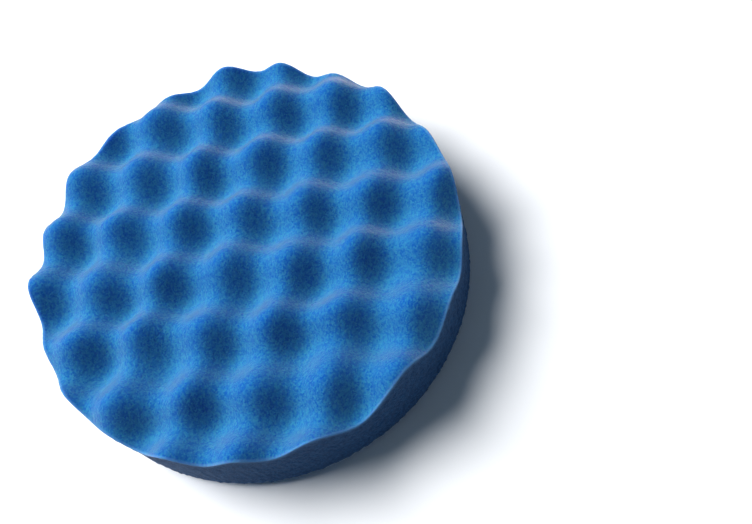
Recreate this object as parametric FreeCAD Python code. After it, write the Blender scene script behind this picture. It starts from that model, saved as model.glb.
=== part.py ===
"""Foam polishing pad with a waffle-cut working face and a hook-and-loop back.

The pad lies with its loop face down on z = 0 and its working face up. The origin is the centre of
the loop face, +Z runs along the pad's axis towards the working face, and +X runs along the rows
of peaks. Millimetres.
"""
import FreeCAD
import Part
import math
import os

# ---- overall sizes -----------------------------------------------------------------------------
pad_diameter = 150.0        # foam, over its widest edge at the back
pad_thickness = 36.0        # loop face to the tops of the peaks
wall_draft = 1.0            # the die-cut side wall is this much smaller in radius at the waffle

# ---- hook-and-loop back, counted from the loop face upwards ------------------------------------
loop_diameter = 132.0       # cut size of the loop cloth
pile_height = 1.4           # brushed loops that the hook plate grips
pile_margin = 0.3           # bare knitted edge all round the pile, left by the cutting die
ground_thickness = 0.6      # knitted ground that carries the loops
film_thickness = 0.3        # hot-melt film under the cloth, cut with it, that bonds it to the foam

# ---- back of the foam --------------------------------------------------------------------------
boss_lip = 0.4              # foam showing outside the edge of the cloth, on the boss
boss_height = 1.7           # boss that the cloth is bonded to, over the foot of the shoulder
shoulder_fall = 0.6         # further fall from the foot of the boss to the outer edge

# ---- waffle face -------------------------------------------------------------------------------
relief = 10.5               # top of a peak to bottom of a pit
row_pitch = 22.3            # peak to peak along a row
cross_pitch = 22.0          # peak to peak from one row to the next, along the slanting columns
column_angle = 75.8         # degrees between the rows and the columns
row_phase = -0.15           # place of the peak nearest the axis, as shares of the two pitches:
cross_phase = -0.39         # the disc is cut from a sheet, so the pattern isn't centred on it
points_per_pitch = 8        # fineness of the surface that carries the waves
sheet_margin = 4.0          # the waved sheet runs out past the disc by this much

# ---- worked out from the sizes above -----------------------------------------------------------
pad_radius = pad_diameter / 2
loop_radius = loop_diameter / 2
ground_z = pile_height
film_z = ground_z + ground_thickness
bond_z = film_z + film_thickness
shoulder_z = bond_z + boss_height
rim_z = shoulder_z + shoulder_fall
mean_z = pad_thickness - relief / 2
blank_top = pad_thickness + relief
boss_radius = loop_radius + boss_lip


def disc(radius, low_z, thickness):
    """A flat disc on the pad's axis, standing on low_z."""
    return Part.makeCylinder(radius, thickness, FreeCAD.Vector(0, 0, low_z))


def at(radius, z):
    """A point of the half section, at a radius and a height."""
    return FreeCAD.Vector(radius, 0, z)


def foam_blank():
    """The die-cut foam before its face is cut: the half section turned about the axis.

    The section runs from the axis along the bond face, down the hollow side of the boss (a
    quarter circle), out along the shoulder, up the slightly drawn-in side wall and back.
    """
    wall_height = mean_z - rim_z
    top_radius = pad_radius - wall_draft * (blank_top - rim_z) / wall_height
    foot_radius = boss_radius + boss_height
    slant = math.radians(45)
    middle = at(
        foot_radius - boss_height * math.cos(slant),
        bond_z + boss_height * math.sin(slant),
    )
    hollow = Part.Arc(at(boss_radius, bond_z), middle, at(foot_radius, shoulder_z)).toShape()
    corners = [
        at(foot_radius, shoulder_z),
        at(pad_radius, rim_z),
        at(top_radius, blank_top),
        at(0, blank_top),
        at(0, bond_z),
        at(boss_radius, bond_z),
    ]
    edges = [Part.makeLine(start, end) for start, end in zip(corners, corners[1:])]
    section = Part.Face(Part.Wire([hollow] + edges))
    return section.revolve(FreeCAD.Vector(0, 0, 0), FreeCAD.Vector(0, 0, 1), 360)


def wave_height(x, y):
    """Height of the waffle at a place: one cosine along the rows and one across them."""
    angle = math.radians(column_angle)
    across = y / (cross_pitch * math.sin(angle))
    along = (x - across * cross_pitch * math.cos(angle)) / row_pitch
    ripple_along = math.cos(2 * math.pi * (along - row_phase))
    ripple_across = math.cos(2 * math.pi * (across - cross_phase))
    return mean_z + relief * (ripple_along + ripple_across) / 4


def waste_above_waffle():
    """The foam that the convoluting rollers and their blade take off: all above the waves."""
    reach = pad_radius + sheet_margin
    step = min(row_pitch, cross_pitch) / points_per_pitch
    count = math.ceil(2 * reach / step) + 1
    places = [-reach + 2 * reach * i / (count - 1) for i in range(count)]
    grid = [[FreeCAD.Vector(x, y, wave_height(x, y)) for y in places] for x in places]
    surface = Part.BSplineSurface()
    surface.interpolate(grid)
    return surface.toShape().extrude(FreeCAD.Vector(0, 0, blank_top))


def foam_pad():
    """The foam body: the blank with its face cut to the waffle."""
    return foam_blank().cut(waste_above_waffle())


def loop_pile():
    """The brushed loops, as the layer that they fill."""
    return disc(loop_radius - pile_margin, 0, pile_height)


def loop_ground_cloth():
    """The knitted ground of the loop cloth."""
    return disc(loop_radius, ground_z, ground_thickness)


def bonding_film():
    """The hot-melt film between the cloth and the foam."""
    return disc(loop_radius, film_z, film_thickness)


os.makedirs("parts", exist_ok=True)
for build in (foam_pad, bonding_film, loop_ground_cloth, loop_pile):
    name = build.__name__
    shape = build()
    solids = shape.Solids
    if len(solids) != 1 or not solids[0].isValid():
        raise ValueError(name + " isn't one valid solid")
    solids[0].exportStep("parts/" + name + ".step")
    box = shape.optimalBoundingBox()
    print(name, "%.1f across, from %.2f to %.2f high" % (box.XLength, box.ZMin, box.ZMax))
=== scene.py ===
# Foam polishing pad, lying on its loop face with the waffle face up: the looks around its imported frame.
import math
import bpy
import numpy as np
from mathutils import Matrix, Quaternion, Vector


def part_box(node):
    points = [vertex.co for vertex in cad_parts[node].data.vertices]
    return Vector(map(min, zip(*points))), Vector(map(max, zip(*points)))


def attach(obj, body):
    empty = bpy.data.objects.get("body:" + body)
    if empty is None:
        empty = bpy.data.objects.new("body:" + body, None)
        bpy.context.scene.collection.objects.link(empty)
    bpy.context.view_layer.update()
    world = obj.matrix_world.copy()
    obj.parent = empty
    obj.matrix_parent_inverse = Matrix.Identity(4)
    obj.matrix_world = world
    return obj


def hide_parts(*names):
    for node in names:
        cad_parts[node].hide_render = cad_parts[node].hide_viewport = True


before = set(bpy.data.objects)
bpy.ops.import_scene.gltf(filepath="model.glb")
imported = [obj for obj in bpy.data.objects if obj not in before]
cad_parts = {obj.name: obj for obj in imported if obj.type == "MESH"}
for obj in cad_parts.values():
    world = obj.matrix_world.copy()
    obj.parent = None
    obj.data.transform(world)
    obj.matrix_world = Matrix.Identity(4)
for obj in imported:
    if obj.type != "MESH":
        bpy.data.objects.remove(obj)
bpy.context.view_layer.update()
foamLow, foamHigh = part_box("foam_pad")
clothLow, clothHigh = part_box("loop_ground_cloth")
filmLow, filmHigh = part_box("bonding_film")
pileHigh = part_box("loop_pile")[1]
millimetre = 0.001
seed = {                     # one starting number for each random draw
    "shiftX": 3, "shiftY": 4, "drift": 5, "faceGrain": 6, "wallGrain": 7, "drag": 8, "shoulder": 9,
    "clothEdge": 11, "clothWander": 12, "felt": 13, "feltWander": 14, "feltJitter": 15, "feltEdge": 16,
    "loops": 21, "filmEdge": 31,
}
fineWaves = 40               # cosines in a fine grain
print("frame loaded")


# plain arithmetic on shader sockets

class Wire:
    # one output of a node, used in ordinary expressions
    def __init__(self, finish, socket):
        self.finish = finish
        self.socket = socket

    def __add__(self, other):
        return self.finish.maths("ADD", self, other)

    def __radd__(self, other):
        return self.finish.maths("ADD", other, self)

    def __sub__(self, other):
        return self.finish.maths("SUBTRACT", self, other)

    def __rsub__(self, other):
        return self.finish.maths("SUBTRACT", other, self)

    def __mul__(self, other):
        return self.finish.maths("MULTIPLY", self, other)

    def __rmul__(self, other):
        return self.finish.maths("MULTIPLY", other, self)

    def __truediv__(self, other):
        return self.finish.maths("DIVIDE", self, other)


class Finish:
    # one procedural material; its fixed shader values are set on the shader's own sockets
    def __init__(self, name, **shaderValues):
        self.material = bpy.data.materials.new(name)
        self.material.use_nodes = True
        self.tree = self.material.node_tree
        self.shader = self.tree.nodes["Principled BSDF"]
        for socketName, value in shaderValues.items():
            self.shader.inputs[socketName.replace("_", " ")].default_value = value

    # a node of one type: its settings first, then a value or a link for each socket, by name or number
    def node(self, kind, settings, sockets, output=0):
        made = self.tree.nodes.new(kind)
        for setting, value in settings.items():
            setattr(made, setting, value)
        for place, value in sockets.items():
            if isinstance(value, Wire):
                self.tree.links.new(value.socket, made.inputs[place])
            else:
                made.inputs[place].default_value = value
        return Wire(self, made.outputs[output])

    def maths(self, operation, *values):
        return self.node("ShaderNodeMath", {"operation": operation}, dict(enumerate(values)))

    def feed(self, socketName, wire):
        self.tree.links.new(wire.socket, self.shader.inputs[socketName])

    def places(self):
        return self.node("ShaderNodeTexCoord", {}, {}, "Object")

    def attribute(self, name):
        return self.node("ShaderNodeAttribute", {"attribute_name": name}, {}, "Fac")

    # noise from 0 to 1 whose features are about one size across, in metres
    def noise(self, size, detail=2.0, roughness=0.5):
        sockets = {"Vector": self.places(), "Scale": 1 / size, "Detail": detail, "Roughness": roughness}
        return self.node("ShaderNodeTexNoise", {}, sockets, "Fac")

    # cells about one size across: the distance to the nearest centre, or a shade of its own for each cell
    def cells(self, size, output="Distance"):
        return self.node("ShaderNodeTexVoronoi", {}, {"Vector": self.places(), "Scale": 1 / size}, output)

    # smooth step from 0 to 1 as the value goes from low to high
    def step(self, value, low, high):
        sockets = {"Value": value, "From Min": low, "From Max": high}
        return self.node("ShaderNodeMapRange", {"interpolation_type": "SMOOTHSTEP"}, sockets)

    # a mix of two colours, which are triples or wires
    def mix(self, factor, first, second):
        pair = [c if isinstance(c, Wire) else (*c, 1.0) for c in (first, second)]
        return self.node("ShaderNodeMix", {"data_type": "RGBA"}, {0: factor, 6: pair[0], 7: pair[1]}, 2)

    def bump(self, height, distance, strength=1.0):
        sockets = {"Height": height, "Distance": distance, "Strength": strength}
        self.feed("Normal", self.node("ShaderNodeBump", {}, sockets))


# surfaces as whole arrays

# sum of cosines that run in random directions, each about one size long; it spreads about 1 either way
def softNoise(places, size, start, waves=24):
    draw = np.random.default_rng(start)
    directions = draw.normal(size=(waves, places.shape[1]))
    directions /= np.linalg.norm(directions, axis=1)[:, None]
    lengths = size * draw.uniform(0.7, 1.4, waves)
    starts = draw.uniform(0, 2 * np.pi, waves)
    crests = np.cos(places @ (directions * (2 * np.pi / lengths[:, None])).T + starts)
    return crests.sum(axis=1) * math.sqrt(2 / waves)


# a square grid folded into a unit disc: each square ring of the grid becomes a circle, at even angles
def discGrid(count):
    line = np.linspace(-1, 1, count + 1)
    across, up = (side.ravel() for side in np.meshgrid(line, line))
    wide = np.abs(across) > np.abs(up)
    radius = np.where(wide, across, up)
    share = np.where(wide, up, across) / np.where(radius == 0, 1, radius)
    angle = np.where(wide, share, 2 - share) * np.pi / 4
    points = np.stack([radius * np.cos(angle), radius * np.sin(angle)], axis=1)
    row = np.arange(count)
    corner = (row[:, None] * (count + 1) + row).ravel()
    quads = np.stack([corner, corner + 1, corner + count + 2, corner + count + 1], axis=1)
    last = count * (count + 1)
    rim = np.concatenate([row, row * (count + 1) + count, last + count - row, last - row * (count + 1)])
    return points, quads, rim


# quads between closed rings of points, each ring given by its first number
def bandQuads(ringStarts, ringSize):
    here = np.arange(ringSize)
    after = np.roll(here, -1)
    starts = np.asarray(ringStarts)[:, None]
    upper = starts[:-1]
    lower = starts[1:]
    return np.stack([upper + here, lower + here, lower + after, upper + after], axis=2).reshape(-1, 4)


# a disc-shaped face continued by rings round its edge and closed at a pole under its middle
def closedBody(top, quads, rim, rings, pole):
    ringSize = len(rim)
    points = np.concatenate([top, rings.reshape(-1, 3), [pole]])
    starts = len(top) + ringSize * np.arange(len(rings))
    first = np.stack([rim, starts[0] + np.arange(ringSize)])
    here = np.arange(ringSize)
    after = np.roll(here, -1)
    joining = np.stack([first[0], first[1], first[1][after], first[0][after]], axis=1)
    closing = np.stack([starts[-1] + here, np.full(ringSize, len(points) - 1), starts[-1] + after], axis=1)
    faces = quads.tolist() + joining.tolist() + bandQuads(starts, ringSize).tolist() + closing.tolist()
    return points, faces


# points of rings round the axis, from a radius and a height for each ring and angle
def ringPoints(radius, height, angle):
    radius, height, angle = np.broadcast_arrays(radius, height, angle)
    return np.stack([radius * np.cos(angle), radius * np.sin(angle), height], axis=-1)


def evenAngles(count):
    return 2 * np.pi * np.arange(count) / count


def makePiece(name, points, faces, finish):
    mesh = bpy.data.meshes.new(name)
    mesh.from_pydata(points.tolist(), [], faces)
    mesh.shade_smooth()
    mesh.materials.append(finish.material)
    piece = bpy.data.objects.new(name, mesh)
    bpy.context.scene.collection.objects.link(piece)
    return piece


def paintAttribute(piece, name, values):
    piece.data.attributes.new(name, "FLOAT", "POINT").data.foreach_set("value", values.astype(np.float32))


# foam body

foam = {
    "relief": 10.5 * millimetre,            # waffle: top of a peak to bottom of a pit
    "rowPitch": 22.3 * millimetre,
    "crossPitch": 22.0 * millimetre,
    "columnAngle": 75.8,
    "rowPhase": -0.15,                      # place of a peak near the axis, as shares of the two pitches
    "crossPhase": -0.39,
    "wallDraft": 1.0 * millimetre,
    "bossLip": 0.4 * millimetre,
    "bossHeight": 1.7 * millimetre,
    "shoulderFall": 0.6 * millimetre,
    "gridCells": 220,
    "cutEdge": 0.35 * millimetre,           # rounding where the wall meets the waffle
    "lowerEdge": 1.1 * millimetre,
    "wallRings": 24,
    "wallHollow": 0.35 * millimetre,        # a soft wall springs in a little behind the cutting die
    "heightDrift": 0.22 * millimetre,       # the blade rides up and down over the sheet
    "driftLean": 0.8,                       # share of that riding that the whole face is lowered by
    "placeDrift": 0.45 * millimetre,
    "driftSize": 38 * millimetre,
    "faceGrain": 0.035 * millimetre,
    "faceGrainSize": 2.2 * millimetre,
    "wallGrain": 0.07 * millimetre,
    "wallGrainSize": 2.4 * millimetre,
    "dragLines": 0.06 * millimetre,         # upright lines that the die drags down the wall
    "dragSize": 1.8 * millimetre,
    "dragStretch": 0.12,
    "bondShares": (0.93, 0.75, 0.5, 0.25),  # rings across the bond face, as shares of the boss's radius
    "edgeHighlightRings": (0.8, 1.0, 0.7, 0.2),      # how much painted highlight pales the first rings round the cut edge
    "edgeHighlightStart": 0.992,                     # share of the radius where that painted highlight begins
    "darkCellCrownShadeBlue": (0.0002, 0.078, 0.330),    # dark cells, and painted shade near the top of a peak
    "paleCellHollowLightBlue": (0.036, 0.208, 0.360),    # pale cells, and painted light near the bottom of a pit
    "edgeHighlightBlue": (0.110, 0.240, 0.430),
    # painted shade: the wall's blues are darker than the waffle's, the foam as it looks in shade
    "wallShadeBlue": (0.003, 0.040, 0.120),
    "wallShadePale": (0.018, 0.085, 0.200),
    "cellSize": 0.5 * millimetre,
    "poreSize": 0.95 * millimetre,
    "cellShare": 0.85,                      # how much each cell's own random tone and its depth count; the depth paints shade on the peaks
    "crownShadeShare": 0.25,
    "toneShadeRange": (-0.1, 1.1),
    "edgeHighlightShare": 0.8,
    "shadeRange": (0.2, 0.9),
    "poreRange": (0.0, 0.6),
    "grainDetail": 3.0,
    "bumpDepth": 0.3 * millimetre,
    "sheen": 0.75,
    "sheenSpread": 0.38,
    "sheenTint": (1.0, 0.84, 0.80, 1.0),
    "scatter": 0.45,
    "lightReach": (0.3 * millimetre, 2.0 * millimetre, 4.5 * millimetre),   # spread of red, green, blue
}


# the waffle: split by a blade, so its cells stand open in a fine nap that catches the light
def waffleFinish():
    finish = Finish(
        "openCellFoam", Roughness=0.95, Specular_IOR_Level=0.12,
        Sheen_Weight=foam["sheen"], Sheen_Roughness=foam["sheenSpread"], Sheen_Tint=foam["sheenTint"],
        Subsurface_Weight=foam["scatter"], Subsurface_Scale=1.0, Subsurface_Radius=foam["lightReach"],
    )
    grain = finish.noise(foam["cellSize"], foam["grainDetail"], 0.65)
    pores = finish.step(finish.cells(foam["poreSize"]), *foam["poreRange"])
    shade = finish.cells(foam["cellSize"], "Color")
    # painted shade and light: the depth darkens the peaks and pales the pits, besides each cell's random tone
    toneWithCrownShade = shade * foam["cellShare"] + finish.attribute("depth") * foam["crownShadeShare"]
    face = finish.mix(finish.step(toneWithCrownShade, *foam["toneShadeRange"]), foam["darkCellCrownShadeBlue"], foam["paleCellHollowLightBlue"])
    # painted highlight: a pale line all round the cut edge
    edge = finish.attribute("cutEdge") * foam["edgeHighlightShare"]
    finish.feed("Base Color", finish.mix(edge, face, foam["edgeHighlightBlue"]))
    finish.bump(grain * 0.6 + pores * 0.4, foam["bumpDepth"], 0.4)
    return finish


# the wall and the back have no nap, so they are duller; the wall's darker blues are painted shade
def plainFinish(name, dark, pale):
    finish = Finish(name, Roughness=0.9, Specular_IOR_Level=0.15, Sheen_Weight=0.08, Sheen_Roughness=0.5)
    grain = finish.noise(foam["cellSize"], foam["grainDetail"], 0.7)
    pores = finish.step(finish.cells(foam["poreSize"]), *foam["poreRange"])
    shade = finish.cells(foam["cellSize"], "Color")
    cells = finish.mix(finish.step(shade, *foam["shadeRange"]), dark, pale)
    # painted highlight: the same pale line along the cut edge
    finish.feed("Base Color", finish.mix(finish.attribute("cutEdge"), cells, foam["edgeHighlightBlue"]))
    finish.bump(grain * 0.5 + pores * 0.5, foam["bumpDepth"], 0.45)
    return finish


# height of the waffle: the mean height, and one cosine along the rows and one across them
def waveHeight(x, y):
    slant = math.radians(foam["columnAngle"])
    across = y / (foam["crossPitch"] * math.sin(slant))
    along = (x - across * foam["crossPitch"] * math.cos(slant)) / foam["rowPitch"]
    ripple = np.cos(2 * np.pi * (along - foam["rowPhase"]))
    ripple += np.cos(2 * np.pi * (across - foam["crossPhase"]))
    return foamHigh.z - foam["relief"] / 2 + foam["relief"] * ripple / 4


# waffle with the unevenness of a blade-split sheet: its place and its height both wander a little
def waffleHeight(x, y):
    flat = np.stack([x, y], axis=1)
    shiftX = foam["placeDrift"] * softNoise(flat, foam["driftSize"], seed["shiftX"])
    shiftY = foam["placeDrift"] * softNoise(flat, foam["driftSize"], seed["shiftY"])
    drift = foam["heightDrift"] * (softNoise(flat, foam["driftSize"], seed["drift"]) - foam["driftLean"])
    grain = foam["faceGrain"] * softNoise(flat, foam["faceGrainSize"], seed["faceGrain"], fineWaves)
    return waveHeight(x + shiftX, y + shiftY) + drift + grain


def foamBody():
    padRadius = foamHigh.x
    bondZ = foamLow.z
    shoulderZ = bondZ + foam["bossHeight"]
    rimZ = shoulderZ + foam["shoulderFall"]
    meanZ = foamHigh.z - foam["relief"] / 2
    bossRadius = clothHigh.x + foam["bossLip"]
    footRadius = bossRadius + foam["bossHeight"]

    def wallRadius(height):                 # the wall leans in by the draft as it rises to the waffle
        return padRadius - foam["wallDraft"] * (height - rimZ) / (meanZ - rimZ)

    flat, quads, rim = discGrid(foam["gridCells"])
    reach = np.linalg.norm(flat, axis=1)
    edgeRadius = padRadius - foam["wallDraft"] - foam["cutEdge"]
    x, y = (flat * edgeRadius).T
    top = np.stack([x, y, waffleHeight(x, y)], axis=1)
    angle = np.arctan2(y[rim], x[rim])
    edgeZ = top[rim, 2]

    # quarter round from the waffle down into the wall
    turn = np.radians([30, 60, 90])[:, None]
    edgeRing = ringPoints(
        edgeRadius + foam["cutEdge"] * np.sin(turn), edgeZ - foam["cutEdge"] * (1 - np.cos(turn)), angle
    )
    # wall: straight down, drawn in by a half sine, with cell grain and upright drag lines
    share = (np.arange(1, foam["wallRings"] + 1) / foam["wallRings"])[:, None]
    wallTop = edgeZ - foam["cutEdge"]
    wallZ = wallTop + (rimZ + foam["lowerEdge"] - wallTop) * share
    ends = np.sin(np.pi * share)
    plain = ringPoints(wallRadius(wallZ), wallZ, angle)
    shape = plain.shape[:2]
    grain = softNoise(plain.reshape(-1, 3), foam["wallGrainSize"], seed["wallGrain"], fineWaves).reshape(shape)
    stretched = (plain * (1, 1, foam["dragStretch"])).reshape(-1, 3)
    drag = softNoise(stretched, foam["dragSize"], seed["drag"], fineWaves).reshape(shape)
    # the top of the wall takes up the small step between the edge's radius and the wall's own
    stepOut = (wallRadius(wallTop) - edgeRadius - foam["cutEdge"]) * (1 - share) ** 8
    rough = foam["wallGrain"] * grain + foam["dragLines"] * drag * np.minimum(1, 4 * share)
    wallRing = ringPoints(wallRadius(wallZ) - stepOut - foam["wallHollow"] * ends + rough, wallZ, angle)
    # lower edge: a quarter round that takes over the last ring's roughness
    lowRadius = wallRadius(rimZ + foam["lowerEdge"]) - foam["lowerEdge"] * (1 - np.cos(turn))
    lowRadius = lowRadius + rough[-1] * (1 - turn / 3)
    lowRing = ringPoints(lowRadius, rimZ + foam["lowerEdge"] * (1 - np.sin(turn)), angle)
    # shoulder: straight in to the foot of the boss
    share = (np.arange(1, 7) / 6)[:, None]
    shoulderOut = padRadius - foam["lowerEdge"]
    shoulderRing = ringPoints(
        shoulderOut + (footRadius - shoulderOut) * share, rimZ + (shoulderZ - rimZ) * share, angle
    )
    places = shoulderRing.reshape(-1, 3)
    bumps = softNoise(places, foam["wallGrainSize"], seed["shoulder"], fineWaves).reshape(shoulderRing.shape[:2])
    shoulderRing[..., 2] += foam["faceGrain"] * bumps * np.sin(np.pi * share)
    # hollow side of the boss: a quarter circle about the point under its foot
    turn = np.radians(np.linspace(90, 180, 8))[1:, None]
    hollowRing = ringPoints(
        footRadius + foam["bossHeight"] * np.cos(turn), bondZ + foam["bossHeight"] * np.sin(turn), angle
    )
    bondRing = ringPoints(bossRadius * np.array(foam["bondShares"])[:, None], bondZ, angle)
    rings = np.concatenate([edgeRing, wallRing, lowRing, shoulderRing, hollowRing, bondRing])
    points, faces = closedBody(top, quads, rim, rings, (0, 0, bondZ))

    piece = makePiece("foam_body", points, faces, waffleFinish())
    # the wall's finish carries painted shade
    piece.data.materials.append(plainFinish("dieCutWallShaded", foam["wallShadeBlue"], foam["wallShadePale"]).material)
    piece.data.materials.append(plainFinish("skivedFoam", foam["darkCellCrownShadeBlue"], foam["paleCellHollowLightBlue"]).material)
    size = len(rim)
    # faces come in the order grid, edge rings, wall, then the back down to the pole
    wallFirst = len(quads) + 2 * size
    backFirst = wallFirst + (foam["wallRings"] + 2) * size
    finishNumber = np.zeros(len(faces), dtype=np.int32)
    finishNumber[wallFirst:backFirst] = 1
    finishNumber[backFirst:] = 2
    piece.data.polygons.foreach_set("material_index", finishNumber)
    # the cutEdge attribute holds how much painted highlight each point gets
    ringEdgeHighlight = np.zeros(len(rings))
    ringEdgeHighlight[:len(foam["edgeHighlightRings"])] = foam["edgeHighlightRings"]
    nearEdgeHighlight = np.clip((reach - foam["edgeHighlightStart"]) / (1 - foam["edgeHighlightStart"]), 0, 1) * foam["edgeHighlightRings"][0]
    depth = (foamHigh.z - points[:, 2]) / foam["relief"]
    paintAttribute(piece, "depth", np.clip(depth, 0, 1))
    paintAttribute(piece, "cutEdge", np.concatenate([nearEdgeHighlight, np.repeat(ringEdgeHighlight, size), [0]]))
    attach(piece, "root")
    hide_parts("foam_pad")
    return piece


foamBody()
print("foam body made")


# loop cloth: brushed loops on a knitted ground

cloth = {
    "ringSize": 720,
    "cutRagged": 0.12 * millimetre,         # unevenness of the cut edge, fine and slow
    "raggedSize": 1.6 * millimetre,
    "wanderSize": 5 * millimetre,
    "wanderShare": 0.5,
    "feltCells": 200,
    "feltInset": 0.15 * millimetre,
    "feltFloor": 0.45 * millimetre,         # lowest level of the dense felt; only loops reach lower
    "feltGrain": 0.10 * millimetre,
    "feltGrainSize": 1.3 * millimetre,
    "feltWanderSize": 4.5 * millimetre,
    "feltWanderShare": 0.6,
    "feltBulge": 0.12 * millimetre,
    "feltRise": (0.12, 0.4, 0.7, 1.0),      # rings up the felt's edge, as shares of its height
    "feltShares": (0.9, 0.6, 0.3),          # rings across its flat side, as shares of its radius
    "loops": 5600,
    "loopInset": 0.5 * millimetre,
    "loopWire": 0.075 * millimetre,
    "loopSpan": (0.9 * millimetre, 1.9 * millimetre),
    "loopLowest": (0.10, 0.35),             # millimetres above the floor
    "loopRoot": 0.25 * millimetre,          # how deep the ends stand in the felt
    "loopLean": 0.3,
    "loopSteps": 5,
    "base": (0.70, 0.63, 0.60),
    "shade": (0.52, 0.46, 0.44),
    "bright": (0.80, 0.75, 0.72),
    "ink": (0.56, 0.035, 0.020),
    "stepAlong": (32 * millimetre, 17 * millimetre),     # from one printed mark to the next, two ways
    "stepAcross": (-3 * millimetre, 30 * millimetre),
    "markTilt": 25.0,
    "markHalf": (8.5 * millimetre, 4.6 * millimetre),
    "markFuzz": 0.7 * millimetre,
    "markFuzzShare": 0.35,
    "fuzzSize": 0.45 * millimetre,
    "clumpSize": 3.5 * millimetre,
}


# red lozenges in a slanted lattice: places are turned into steps along two directions, and the part
# left over after whole steps is measured from the middle of its lozenge
def printedMarks(finish):
    (ax, ay), (bx, by) = cloth["stepAlong"], cloth["stepAcross"]
    whole = ax * by - ay * bx
    x, y = (finish.node("ShaderNodeSeparateXYZ", {}, {0: finish.places()}, axis) for axis in "XY")
    along = (x * by - y * bx) / whole
    across = (y * ax - x * ay) / whole
    restAlong = finish.maths("FRACT", along) - 0.5
    restAcross = finish.maths("FRACT", across) - 0.5
    localX = restAlong * ax + restAcross * bx
    localY = restAlong * ay + restAcross * by
    tilt = math.radians(cloth["markTilt"])
    u = localX * math.cos(tilt) + localY * math.sin(tilt)
    v = localY * math.cos(tilt) - localX * math.sin(tilt)
    halfU, halfV = cloth["markHalf"]
    distance = finish.maths("ABSOLUTE", u) / halfU + finish.maths("ABSOLUTE", v) / halfV
    ragged = distance + (finish.noise(cloth["markFuzz"]) - 0.5) * cloth["markFuzzShare"]
    return 1 - finish.step(ragged, 0.90, 1.0)


# brushed fibre in three near whites, with red ink lying on it where it is printed
def loopFinish(name, printed):
    finish = Finish(name, Roughness=0.9, Specular_IOR_Level=0.25, Sheen_Weight=0.35, Sheen_Roughness=0.4)
    fuzz = finish.noise(cloth["fuzzSize"], 3.0, 0.6)
    clumps = finish.noise(cloth["clumpSize"])
    colour = finish.mix(finish.step(fuzz, 0.3, 0.7), cloth["shade"], cloth["bright"])
    colour = finish.mix(finish.step(clumps, 0.3, 0.7) * 0.5, colour, cloth["base"])
    if printed:
        ink = printedMarks(finish) * (0.75 + 0.25 * finish.step(fuzz, 0.35, 0.6))
        colour = finish.mix(ink, colour, cloth["ink"])
    finish.feed("Base Color", colour)
    finish.bump(fuzz, 0.2 * millimetre, 0.6)
    return finish


# a flat round slab as rings: out over its top, down its ragged edge and in under it, closed at both middles
def roundSlab(radius, lowZ, highZ, angle):
    shares = np.array([[0.2], [0.45], [0.7], [0.9], [0.985]])
    drop = np.array([[0.0], [0.06], [0.3], [0.5], [0.7], [0.94], [1.0]])
    bulge = np.array([[-0.08], [-0.02], [0.0], [0.01], [0.0], [-0.02], [-0.08]]) * (highZ - lowZ)
    over = ringPoints(radius * shares, highZ, angle)
    edge = ringPoints(radius + bulge, highZ - (highZ - lowZ) * drop, angle)
    under = ringPoints(radius * shares[::-1], lowZ, angle)
    rings = np.concatenate([over, edge, under])
    size = len(angle)
    points = np.concatenate([rings.reshape(-1, 3), [(0, 0, highZ), (0, 0, lowZ)]])
    here = np.arange(size)
    after = np.roll(here, -1)
    last = size * (len(rings) - 1)
    opening = np.stack([here, after, np.full(size, len(points) - 2)], axis=1)
    closing = np.stack([last + here, np.full(size, len(points) - 1), last + after], axis=1)
    band = bandQuads(size * np.arange(len(rings)), size)
    return points, band.tolist() + opening.tolist() + closing.tolist()


def groundCloth():
    angle = evenAngles(cloth["ringSize"])
    circle = np.stack([np.cos(angle), np.sin(angle)], axis=1) * clothHigh.x
    ragged = softNoise(circle, cloth["raggedSize"], seed["clothEdge"], fineWaves)
    ragged += cloth["wanderShare"] * softNoise(circle, cloth["wanderSize"], seed["clothWander"])
    radius = clothHigh.x + cloth["cutRagged"] * ragged
    points, faces = roundSlab(radius, clothLow.z, clothHigh.z, angle)
    piece = makePiece("loop_cloth", points, faces, loopFinish("knittedGround", False))
    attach(piece, "root")
    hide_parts("loop_ground_cloth")
    return piece


# felt: the dense part of the brushed pile, a disc whose under side is a fine uneven grid
def pileFelt(finish):
    flat, quads, rim = discGrid(cloth["feltCells"])
    radius = pileHigh.x - cloth["feltInset"]
    under = flat * radius
    grain = softNoise(under, cloth["feltGrainSize"], seed["felt"], fineWaves)
    grain += cloth["feltWanderShare"] * softNoise(under, cloth["feltWanderSize"], seed["feltWander"])
    jitter = np.random.default_rng(seed["feltJitter"]).uniform(-0.5, 0.5, len(under))
    level = cloth["feltFloor"] + cloth["feltGrain"] * (grain + jitter)
    top = np.column_stack([under * (1, -1), level])       # mirrored, so that the same quads face down
    angle = np.arctan2(top[rim, 1], top[rim, 0])
    rimLevel = top[rim, 2]
    ragged = cloth["cutRagged"] * softNoise(top[rim, :2], cloth["raggedSize"], seed["feltEdge"], fineWaves)
    rise = np.array(cloth["feltRise"])[:, None]
    edge = ringPoints(radius + cloth["feltBulge"] + ragged, rimLevel + (pileHigh.z - rimLevel) * rise, angle)
    inner = ringPoints(radius * np.array(cloth["feltShares"])[:, None], pileHigh.z, angle)
    rings = np.concatenate([edge, inner])
    points, faces = closedBody(top, quads, rim, rings, (0, 0, pileHigh.z))
    return makePiece("pile_felt", points, faces, finish)


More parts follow.
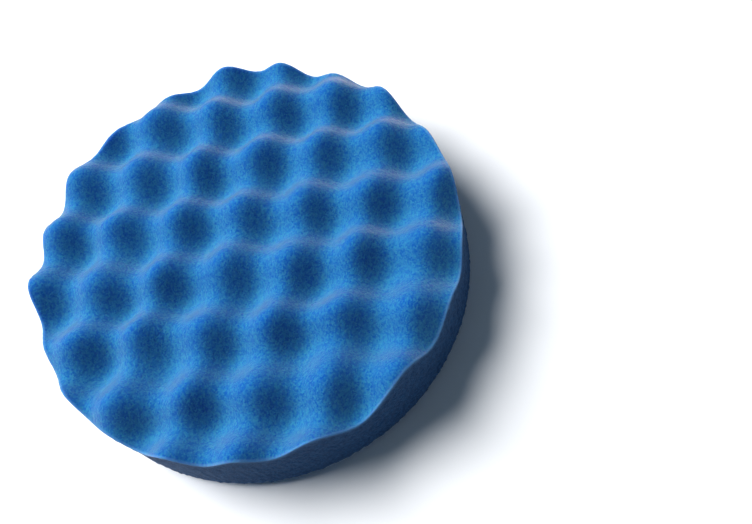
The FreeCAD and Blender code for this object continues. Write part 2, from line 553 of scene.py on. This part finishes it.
# loops: half-sine arches of fine fibre that start and end in the felt, each a three-sided tube
def pileLoops(finish):
    count = cloth["loops"]
    draw = np.random.default_rng(seed["loops"])
    radius = (pileHigh.x - cloth["loopInset"]) * np.sqrt(draw.uniform(0, 1, count))
    place = draw.uniform(0, 2 * np.pi, count)
    heading = draw.uniform(0, 2 * np.pi, count)
    span = draw.uniform(*cloth["loopSpan"], count)
    lowest = draw.uniform(*cloth["loopLowest"], count) * millimetre
    rootZ = cloth["feltFloor"] + cloth["loopRoot"]
    share = np.linspace(0, 1, cloth["loopSteps"] + 1)
    go = span[:, None] * (share - 0.5)
    drop = (rootZ - lowest)[:, None]
    lean = cloth["loopLean"] * drop * np.sin(2 * np.pi * share) * draw.uniform(-1, 1, (count, 1))
    sink = drop * np.sin(np.pi * share)
    headingX, headingY = np.cos(heading)[:, None], np.sin(heading)[:, None]
    centre = np.stack([
        (radius * np.cos(place))[:, None] + go * headingX - lean * headingY,
        (radius * np.sin(place))[:, None] + go * headingY + lean * headingX,
        rootZ - sink,
    ], axis=2)
    ahead = np.gradient(centre, axis=1)
    ahead /= np.linalg.norm(ahead, axis=2, keepdims=True)
    sideways = np.stack([-headingY, headingX, np.zeros_like(headingX)], axis=2) + np.zeros_like(centre)
    sideways -= ahead * (sideways * ahead).sum(axis=2, keepdims=True)
    sideways /= np.linalg.norm(sideways, axis=2, keepdims=True)
    upward = np.cross(ahead, sideways)
    turns = np.radians([90, 210, 330])
    tube = centre[:, :, None] + cloth["loopWire"] * (
        np.cos(turns)[:, None] * sideways[:, :, None] + np.sin(turns)[:, None] * upward[:, :, None]
    )
    steps = len(share)
    base = 3 * steps * np.arange(count)[:, None, None]
    ring = 3 * np.arange(steps - 1)[:, None]
    corner = np.arange(3)
    nextCorner = (corner + 1) % 3
    here, there = base + ring, base + ring + 3
    quads = np.stack([here + corner, here + nextCorner, there + nextCorner, there + corner], axis=3).reshape(-1, 4)
    first = base[:, 0] + corner[::-1]
    final = base[:, 0] + 3 * (steps - 1) + corner
    faces = quads.tolist() + first.tolist() + final.tolist()
    return makePiece("pile_loops", tube.reshape(-1, 3), faces, finish)


def loopPile():
    finish = loopFinish("brushedLoops", True)
    felt = pileFelt(finish)
    loops = pileLoops(finish)
    for piece in (felt, loops):
        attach(piece, "root")
    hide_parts("loop_pile")


groundCloth()
loopPile()
print("loop cloth made")


# hot-melt film that holds the cloth to the foam

film = {
    "ringSize": 720,
    "inset": 0.05 * millimetre,             # the cut cloth hides all but the beads of its edge
    "beadSize": 0.9 * millimetre,
    "beadReach": 0.06 * millimetre,
    "clear": (0.62, 0.60, 0.50),
    "cloudy": (0.80, 0.78, 0.70),
    "mottleSize": 1.2 * millimetre,
    "mottleDepth": 0.05 * millimetre,
}


def filmFinish():
    finish = Finish("hotMeltFilm", Roughness=0.45, Specular_IOR_Level=0.4)
    mottle = finish.noise(film["mottleSize"], 3.0)
    finish.feed("Base Color", finish.mix(mottle, film["clear"], film["cloudy"]))
    finish.bump(mottle, film["mottleDepth"], 0.5)
    return finish


# film: a thin slab whose edge has run into small beads, a sum of cosines round the circle
def bondFilm():
    angle = evenAngles(film["ringSize"])
    circle = np.stack([np.cos(angle), np.sin(angle)], axis=1) * filmHigh.x
    beads = film["beadReach"] * softNoise(circle, film["beadSize"], seed["filmEdge"], fineWaves)
    radius = filmHigh.x - film["inset"] + beads
    points, faces = roundSlab(radius, filmLow.z, filmHigh.z, angle)
    piece = makePiece("bond_film", points, faces, filmFinish())
    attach(piece, "root")
    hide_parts("bonding_film")


bondFilm()
print("film made")


# floor, light and camera

studio = {
    "floorSize": 1.2,
    "floorDrop": 0.05 * millimetre,
    "floorColour": (0.86, 0.86, 0.87),
    "floorShade": (0.8342, 0.8342, 0.8439),
    "floorMottle": 0.12,
    "skyColour": (0.55, 0.78, 1.0, 1.0),
    "skyStrength": 0.14,
    "backdropColour": (0.90, 0.91, 0.92, 1.0),
    # a lamp's azimuth is counted from +X towards +Y, its elevation up from the floor, both in degrees
    "keyLight": {"azimuth": 160, "elevation": 55, "distance": 1.1, "size": 0.85, "power": 20.3},
    "bounceLight": {"azimuth": 12, "elevation": 10, "distance": 0.7, "size": 0.5, "power": 0.45},
}

camera = {
    "position": (0.0760, -0.1175, 0.2416),
    "aimPoint": (0.0451, -0.0134, 0.0300),
    "roll": -22.0,
    "lens": 35.4,
    "sensor": 36.0,
}


def floorPlane():
    half = studio["floorSize"] / 2
    corners = np.array([(-half, -half), (half, -half), (half, half), (-half, half)])
    finish = Finish("paleFloor", Roughness=0.7, Specular_IOR_Level=0.2)
    mottle = finish.noise(studio["floorMottle"], 3.0)
    finish.feed("Base Color", finish.mix(mottle, studio["floorShade"], studio["floorColour"]))
    points = np.column_stack([corners, np.full(4, -studio["floorDrop"])])
    makePiece("floor", points, [[0, 1, 2, 3]], finish)


# a round lamp that faces the pad from a direction, at a distance
def roundLamp(name):
    lamp = studio[name]
    azimuth = math.radians(lamp["azimuth"])
    elevation = math.radians(lamp["elevation"])
    outward = Vector((
        math.cos(azimuth) * math.cos(elevation), math.sin(azimuth) * math.cos(elevation), math.sin(elevation),
    ))
    data = bpy.data.lights.new(name, "AREA")
    data.shape = "DISK"
    data.size = lamp["size"]
    data.energy = lamp["power"]
    light = bpy.data.objects.new(name, data)
    light.location = outward * lamp["distance"]
    light.rotation_euler = outward.to_track_quat("Z", "Y").to_euler()
    bpy.context.scene.collection.objects.link(light)


def softLight():
    roundLamp("keyLight")
    roundLamp("bounceLight")
    world = bpy.data.worlds.new("studioSky")
    world.use_nodes = True
    nodes, links = world.node_tree.nodes, world.node_tree.links
    sky = nodes["Background"]
    sky.inputs["Color"].default_value = studio["skyColour"]
    sky.inputs["Strength"].default_value = studio["skyStrength"]
    # the camera sees a pale backdrop where the floor ends, while the pad is lit by the dimmer sky
    backdrop = nodes.new("ShaderNodeBackground")
    backdrop.inputs["Color"].default_value = studio["backdropColour"]
    seen = nodes.new("ShaderNodeMixShader")
    links.new(nodes.new("ShaderNodeLightPath").outputs["Is Camera Ray"], seen.inputs[0])
    links.new(sky.outputs[0], seen.inputs[1])
    links.new(backdrop.outputs[0], seen.inputs[2])
    links.new(seen.outputs[0], nodes["World Output"].inputs["Surface"])
    bpy.context.scene.world = world
    bpy.context.scene.view_settings.view_transform = "Standard"
    bpy.context.scene.view_settings.look = "Medium High Contrast"


def mainCamera():
    position = Vector(camera["position"])
    look = (Vector(camera["aimPoint"]) - position).to_track_quat("-Z", "Y")
    data = bpy.data.cameras.new("mainCamera")
    data.lens = camera["lens"]
    data.sensor_width = camera["sensor"]
    made = bpy.data.objects.new("mainCamera", data)
    made.location = position
    made.rotation_euler = (look @ Quaternion((0, 0, 1), math.radians(camera["roll"]))).to_euler()
    bpy.context.scene.collection.objects.link(made)
    bpy.context.scene.camera = made


floorPlane()
softLight()
mainCamera()
print("studio set")
